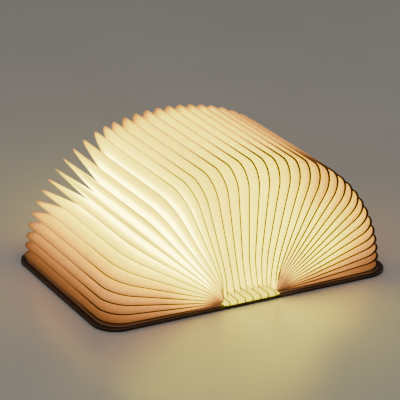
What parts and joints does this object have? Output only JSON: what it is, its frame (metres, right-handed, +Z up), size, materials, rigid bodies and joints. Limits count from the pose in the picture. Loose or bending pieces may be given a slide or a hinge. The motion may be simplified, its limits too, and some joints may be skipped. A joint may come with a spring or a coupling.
{
  "type": "folding book lamp",
  "caption": "Book-shaped lamp with two thin wooden covers and a fan of folded paper leaves that opens to a half circle over a lit spine.",
  "frame": {"origin": "middle of the resting face, under the spine board", "axes": "+X across the open book, towards the right cover; +Y along the spine, towards the end with the charging port; +Z up"},
  "size_m": [0.192, 0.122, 0.0839],
  "materials": {
    "board": "dark walnut, oiled, satin",
    "hinge": "thin flexible strip, dark brown, matt",
    "leaf_paper": "fibrous translucent paper, lit from inside",
    "endpaper": "fibrous paper, matt",
    "tray": "moulded, fine matt",
    "diffuser": "milky translucent, lit from inside",
    "led_board": "white solder mask",
    "led": "yellow phosphor, glossy",
    "cell": "laminated foil, satin",
    "circuit": "green solder mask",
    "reed": "moulded capsule, glossy",
    "port": "plated steel shell",
    "magnet": "nickel plated"
  },
  "bodies": {
    "base": {"spine_board": "board", "light_tray": "tray", "diffuser": "diffuser", "led_board": "led_board", "leds": "led", "battery": "cell", "control_board": "circuit", "reed_switch": "reed", "charge_port": "port", "hub_paper": "leaf_paper", "left_hinge_strip": "hinge", "right_hinge_strip": "hinge"},
    "left_cover": {"left_cover": "board", "left_magnets": "magnet"},
    "right_cover": {"right_cover": "board", "right_magnets": "magnet"},
    "left_fan_01": {"left_leaf_01": "leaf_paper"},
    "left_fan_02": {"left_leaf_02": "leaf_paper"},
    "left_fan_03": {"left_leaf_03": "leaf_paper"},
    "left_fan_04": {"left_leaf_04": "leaf_paper"},
    "left_fan_05": {"left_leaf_05": "leaf_paper"},
    "left_fan_06": {"left_leaf_06": "leaf_paper"},
    "left_fan_07": {"left_leaf_07": "leaf_paper"},
    "left_fan_08": {"left_leaf_08": "leaf_paper"},
    "left_fan_09": {"left_leaf_09": "leaf_paper"},
    "left_fan_10": {"left_leaf_10": "leaf_paper"},
    "left_fan_11": {"left_leaf_11": "leaf_paper"},
    "left_fan_12": {"left_leaf_12": "leaf_paper"},
    "left_fan_13": {"left_leaf_13": "leaf_paper"},
    "left_fan_14": {"left_leaf_14": "leaf_paper"},
    "left_fan_15": {"left_leaf_15": "leaf_paper"},
    "left_fan_16": {"left_leaf_16": "leaf_paper"},
    "left_fan_17": {"left_leaf_17": "leaf_paper"},
    "left_fan_18": {"left_leaf_18": "leaf_paper"},
    "left_fan_19": {"left_leaf_19": "leaf_paper", "left_endpaper": "endpaper"},
    "right_fan_01": {"right_leaf_01": "leaf_paper"},
    "right_fan_02": {"right_leaf_02": "leaf_paper"},
    "right_fan_03": {"right_leaf_03": "leaf_paper"},
    "right_fan_04": {"right_leaf_04": "leaf_paper"},
    "right_fan_05": {"right_leaf_05": "leaf_paper"},
    "right_fan_06": {"right_leaf_06": "leaf_paper"},
    "right_fan_07": {"right_leaf_07": "leaf_paper"},
    "right_fan_08": {"right_leaf_08": "leaf_paper"},
    "right_fan_09": {"right_leaf_09": "leaf_paper"},
    "right_fan_10": {"right_leaf_10": "leaf_paper"},
    "right_fan_11": {"right_leaf_11": "leaf_paper"},
    "right_fan_12": {"right_leaf_12": "leaf_paper"},
    "right_fan_13": {"right_leaf_13": "leaf_paper"},
    "right_fan_14": {"right_leaf_14": "leaf_paper"},
    "right_fan_15": {"right_leaf_15": "leaf_paper"},
    "right_fan_16": {"right_leaf_16": "leaf_paper"},
    "right_fan_17": {"right_leaf_17": "leaf_paper"},
    "right_fan_18": {"right_leaf_18": "leaf_paper"},
    "right_fan_19": {"right_leaf_19": "leaf_paper"},
    "right_fan_20": {"right_leaf_20": "leaf_paper", "right_endpaper": "endpaper"}
  },
  "joints": [
    {"name": "left_cover_hinge", "type": "hinge", "parent": "base", "child": "left_cover", "pos_m": [-0.0114, 0, 0.0011], "axis": [0, 1, 0], "range_deg": [0, 90], "deforming": ["left_hinge_strip"]},
    {"name": "left_fold_01", "type": "hinge", "parent": "base", "child": "left_fan_01", "pos_m": [-0.00139, 0, -0.03283], "axis": [0, 1, 0], "range_deg": [0, 3.4], "deforming": ["left_leaf_01", "hub_paper"]},
    {"name": "left_fold_02", "type": "hinge", "parent": "left_fan_01", "child": "left_fan_02", "pos_m": [-0.00191, 0, -0.03293], "axis": [0, 1, 0], "range_deg": [0, 3.4], "deforming": ["left_leaf_02"]},
    {"name": "left_fold_03", "type": "hinge", "parent": "left_fan_02", "child": "left_fan_03", "pos_m": [-0.00243, 0, -0.03306], "axis": [0, 1, 0], "range_deg": [0, 3.4], "deforming": ["left_leaf_03"]},
    {"name": "left_fold_04", "type": "hinge", "parent": "left_fan_03", "child": "left_fan_04", "pos_m": [-0.00294, 0, -0.03322], "axis": [0, 1, 0], "range_deg": [0, 3.4], "deforming": ["left_leaf_04"]},
    {"name": "left_fold_05", "type": "hinge", "parent": "left_fan_04", "child": "left_fan_05", "pos_m": [-0.00344, 0, -0.0334], "axis": [0, 1, 0], "range_deg": [0, 3.4], "deforming": ["left_leaf_05"]},
    {"name": "left_fold_06", "type": "hinge", "parent": "left_fan_05", "child": "left_fan_06", "pos_m": [-0.01742, 0, 0.01053], "axis": [0, 1, 0], "range_deg": [0, 3.4], "deforming": ["left_leaf_06"]},
    {"name": "left_fold_07", "type": "hinge", "parent": "left_fan_06", "child": "left_fan_07", "pos_m": [-0.01596, 0, 0.00659], "axis": [0, 1, 0], "range_deg": [0, 6.34], "deforming": ["left_leaf_07"]},
    {"name": "left_fold_08", "type": "hinge", "parent": "left_fan_07", "child": "left_fan_08", "pos_m": [-0.01648, 0, 0.0064], "axis": [0, 1, 0], "range_deg": [0, 6.18], "deforming": ["left_leaf_08"]},
    {"name": "left_fold_09", "type": "hinge", "parent": "left_fan_08", "child": "left_fan_09", "pos_m": [-0.01697, 0, 0.00616], "axis": [0, 1, 0], "range_deg": [0, 6.01], "deforming": ["left_leaf_09"]},
    {"name": "left_fold_10", "type": "hinge", "parent": "left_fan_09", "child": "left_fan_10", "pos_m": [-0.01745, 0, 0.00588], "axis": [0, 1, 0], "range_deg": [0, 5.85], "deforming": ["left_leaf_10"]},
    {"name": "left_fold_11", "type": "hinge", "parent": "left_fan_10", "child": "left_fan_11", "pos_m": [-0.01789, 0, 0.00555], "axis": [0, 1, 0], "range_deg": [0, 5.68], "deforming": ["left_leaf_11"]},
    {"name": "left_fold_12", "type": "hinge", "parent": "left_fan_11", "child": "left_fan_12", "pos_m": [-0.01832, 0, 0.00518], "axis": [0, 1, 0], "range_deg": [0, 5.52], "deforming": ["left_leaf_12"]},
    {"name": "left_fold_13", "type": "hinge", "parent": "left_fan_12", "child": "left_fan_13", "pos_m": [-0.01871, 0, 0.00479], "axis": [0, 1, 0], "range_deg": [0, 5.35], "deforming": ["left_leaf_13"]},
    {"name": "left_fold_14", "type": "hinge", "parent": "left_fan_13", "child": "left_fan_14", "pos_m": [-0.01907, 0, 0.00436], "axis": [0, 1, 0], "range_deg": [0, 5.19], "deforming": ["left_leaf_14"]},
    {"name": "left_fold_15", "type": "hinge", "parent": "left_fan_14", "child": "left_fan_15", "pos_m": [-0.01941, 0, 0.0039], "axis": [0, 1, 0], "range_deg": [0, 5.02], "deforming": ["left_leaf_15"]},
    {"name": "left_fold_16", "type": "hinge", "parent": "left_fan_15", "child": "left_fan_16", "pos_m": [-0.01971, 0, 0.00342], "axis": [0, 1, 0], "range_deg": [0, 4.86], "deforming": ["left_leaf_16"]},
    {"name": "left_fold_17", "type": "hinge", "parent": "left_fan_16", "child": "left_fan_17", "pos_m": [-0.01999, 0, 0.00291], "axis": [0, 1, 0], "range_deg": [0, 4.69], "deforming": ["left_leaf_17"]},
    {"name": "left_fold_18", "type": "hinge", "parent": "left_fan_17", "child": "left_fan_18", "pos_m": [-0.02024, 0, 0.00238], "axis": [0, 1, 0], "range_deg": [0, 4.53], "deforming": ["left_leaf_18"]},
    {"name": "left_fold_19", "type": "hinge", "parent": "left_fan_18", "child": "left_fan_19", "pos_m": [-0.02047, 0, 0.00184], "axis": [0, 1, 0], "range_deg": [0, 4.37], "deforming": ["left_leaf_19", "left_endpaper"]},
    {"name": "right_cover_hinge", "type": "hinge", "parent": "base", "child": "right_cover", "pos_m": [0.0114, 0, 0.0011], "axis": [0, -1, 0], "range_deg": [0, 90], "deforming": ["right_hinge_strip"]},
    {"name": "right_fold_01", "type": "hinge", "parent": "base", "child": "right_fan_01", "pos_m": [0.00132, 0, -0.03327], "axis": [0, -1, 0], "range_deg": [0, 3.4], "deforming": ["right_leaf_01"]},
    {"name": "right_fold_02", "type": "hinge", "parent": "right_fan_01", "child": "right_fan_02", "pos_m": [0.00182, 0, -0.03337], "axis": [0, -1, 0], "range_deg": [0, 3.4], "deforming": ["right_leaf_02"]},
    {"name": "right_fold_03", "type": "hinge", "parent": "right_fan_02", "child": "right_fan_03", "pos_m": [0.00231, 0, -0.03349], "axis": [0, -1, 0], "range_deg": [0, 3.4], "deforming": ["right_leaf_03"]},
    {"name": "right_fold_04", "type": "hinge", "parent": "right_fan_03", "child": "right_fan_04", "pos_m": [0.00279, 0, -0.03364], "axis": [0, -1, 0], "range_deg": [0, 3.4], "deforming": ["right_leaf_04"]},
    {"name": "right_fold_05", "type": "hinge", "parent": "right_fan_04", "child": "right_fan_05", "pos_m": [0.00327, 0, -0.03382], "axis": [0, -1, 0], "range_deg": [0, 3.4], "deforming": ["right_leaf_05"]},
    {"name": "right_fold_06", "type": "hinge", "parent": "right_fan_05", "child": "right_fan_06", "pos_m": [0.01579, 0, 0.00693], "axis": [0, -1, 0], "range_deg": [0, 5.78], "deforming": ["right_leaf_06"]},
    {"name": "right_fold_07", "type": "hinge", "parent": "right_fan_06", "child": "right_fan_07", "pos_m": [0.01628, 0, 0.00677], "axis": [0, -1, 0], "range_deg": [0, 5.65], "deforming": ["right_leaf_07"]},
    {"name": "right_fold_08", "type": "hinge", "parent": "right_fan_07", "child": "right_fan_08", "pos_m": [0.01677, 0, 0.00658], "axis": [0, -1, 0], "range_deg": [0, 5.52], "deforming": ["right_leaf_08"]},
    {"name": "right_fold_09", "type": "hinge", "parent": "right_fan_08", "child": "right_fan_09", "pos_m": [0.01723, 0, 0.00634], "axis": [0, -1, 0], "range_deg": [0, 5.39], "deforming": ["right_leaf_09"]},
    {"name": "right_fold_10", "type": "hinge", "parent": "right_fan_09", "child": "right_fan_10", "pos_m": [0.01768, 0, 0.00606], "axis": [0, -1, 0], "range_deg": [0, 5.26], "deforming": ["right_leaf_10"]},
    {"name": "right_fold_11", "type": "hinge", "parent": "right_fan_10", "child": "right_fan_11", "pos_m": [0.0181, 0, 0.00575], "axis": [0, -1, 0], "range_deg": [0, 5.13], "deforming": ["right_leaf_11"]},
    {"name": "right_fold_12", "type": "hinge", "parent": "right_fan_11", "child": "right_fan_12", "pos_m": [0.0185, 0, 0.00541], "axis": [0, -1, 0], "range_deg": [0, 5], "deforming": ["right_leaf_12"]},
    {"name": "right_fold_13", "type": "hinge", "parent": "right_fan_12", "child": "right_fan_13", "pos_m": [0.01888, 0, 0.00503], "axis": [0, -1, 0], "range_deg": [0, 4.87], "deforming": ["right_leaf_13"]},
    {"name": "right_fold_14", "type": "hinge", "parent": "right_fan_13", "child": "right_fan_14", "pos_m": [0.01923, 0, 0.00463], "axis": [0, -1, 0], "range_deg": [0, 4.74], "deforming": ["right_leaf_14"]},
    {"name": "right_fold_15", "type": "hinge", "parent": "right_fan_14", "child": "right_fan_15", "pos_m": [0.01955, 0, 0.00421], "axis": [0, -1, 0], "range_deg": [0, 4.61], "deforming": ["right_leaf_15"]},
    {"name": "right_fold_16", "type": "hinge", "parent": "right_fan_15", "child": "right_fan_16", "pos_m": [0.01985, 0, 0.00376], "axis": [0, -1, 0], "range_deg": [0, 4.48], "deforming": ["right_leaf_16"]},
    {"name": "right_fold_17", "type": "hinge", "parent": "right_fan_16", "child": "right_fan_17", "pos_m": [0.02012, 0, 0.00329], "axis": [0, -1, 0], "range_deg": [0, 4.35], "deforming": ["right_leaf_17"]},
    {"name": "right_fold_18", "type": "hinge", "parent": "right_fan_17", "child": "right_fan_18", "pos_m": [0.02037, 0, 0.00281], "axis": [0, -1, 0], "range_deg": [0, 4.22], "deforming": ["right_leaf_18"]},
    {"name": "right_fold_19", "type": "hinge", "parent": "right_fan_18", "child": "right_fan_19", "pos_m": [0.0206, 0, 0.0023], "axis": [0, -1, 0], "range_deg": [0, 4.09], "deforming": ["right_leaf_19"]},
    {"name": "right_fold_20", "type": "hinge", "parent": "right_fan_19", "child": "right_fan_20", "pos_m": [0.0208, 0, 0.00178], "axis": [0, -1, 0], "range_deg": [0, 3.96], "deforming": ["right_leaf_20", "right_endpaper"]}
  ],
  "couplings": [
    {"joint": "left_fold_01", "follows": "left_cover_hinge", "ratio": 0.037778},
    {"joint": "left_fold_02", "follows": "left_cover_hinge", "ratio": 0.037778},
    {"joint": "left_fold_03", "follows": "left_cover_hinge", "ratio": 0.037778},
    {"joint": "left_fold_04", "follows": "left_cover_hinge", "ratio": 0.037778},
    {"joint": "left_fold_05", "follows": "left_cover_hinge", "ratio": 0.037778},
    {"joint": "left_fold_06", "follows": "left_cover_hinge", "ratio": 0.037778},
    {"joint": "left_fold_07", "follows": "left_cover_hinge", "ratio": 0.070469},
    {"joint": "left_fold_08", "follows": "left_cover_hinge", "ratio": 0.068639},
    {"joint": "left_fold_09", "follows": "left_cover_hinge", "ratio": 0.066809},
    {"joint": "left_fold_10", "follows": "left_cover_hinge", "ratio": 0.064978},
    {"joint": "left_fold_11", "follows": "left_cover_hinge", "ratio": 0.063148},
    {"joint": "left_fold_12", "follows": "left_cover_hinge", "ratio": 0.061318},
    {"joint": "left_fold_13", "follows": "left_cover_hinge", "ratio": 0.059487},
    {"joint": "left_fold_14", "follows": "left_cover_hinge", "ratio": 0.057657},
    {"joint": "left_fold_15", "follows": "left_cover_hinge", "ratio": 0.055826},
    {"joint": "left_fold_16", "follows": "left_cover_hinge", "ratio": 0.053996},
    {"joint": "left_fold_17", "follows": "left_cover_hinge", "ratio": 0.052166},
    {"joint": "left_fold_18", "follows": "left_cover_hinge", "ratio": 0.050335},
    {"joint": "left_fold_19", "follows": "left_cover_hinge", "ratio": 0.048505},
    {"joint": "right_fold_01", "follows": "right_cover_hinge", "ratio": 0.037778},
    {"joint": "right_fold_02", "follows": "right_cover_hinge", "ratio": 0.037778},
    {"joint": "right_fold_03", "follows": "right_cover_hinge", "ratio": 0.037778},
    {"joint": "right_fold_04", "follows": "right_cover_hinge", "ratio": 0.037778},
    {"joint": "right_fold_05", "follows": "right_cover_hinge", "ratio": 0.037778},
    {"joint": "right_fold_06", "follows": "right_cover_hinge", "ratio": 0.064168},
    {"joint": "right_fold_07", "follows": "right_cover_hinge", "ratio": 0.062726},
    {"joint": "right_fold_08", "follows": "right_cover_hinge", "ratio": 0.061284},
    {"joint": "right_fold_09", "follows": "right_cover_hinge", "ratio": 0.059842},
    {"joint": "right_fold_10", "follows": "right_cover_hinge", "ratio": 0.0584},
    {"joint": "right_fold_11", "follows": "right_cover_hinge", "ratio": 0.056958},
    {"joint": "right_fold_12", "follows": "right_cover_hinge", "ratio": 0.055516},
    {"joint": "right_fold_13", "follows": "right_cover_hinge", "ratio": 0.054074},
    {"joint": "right_fold_14", "follows": "right_cover_hinge", "ratio": 0.052632},
    {"joint": "right_fold_15", "follows": "right_cover_hinge", "ratio": 0.05119},
    {"joint": "right_fold_16", "follows": "right_cover_hinge", "ratio": 0.049748},
    {"joint": "right_fold_17", "follows": "right_cover_hinge", "ratio": 0.048306},
    {"joint": "right_fold_18", "follows": "right_cover_hinge", "ratio": 0.046864},
    {"joint": "right_fold_19", "follows": "right_cover_hinge", "ratio": 0.045422},
    {"joint": "right_fold_20", "follows": "right_cover_hinge", "ratio": 0.04398}
  ]
}
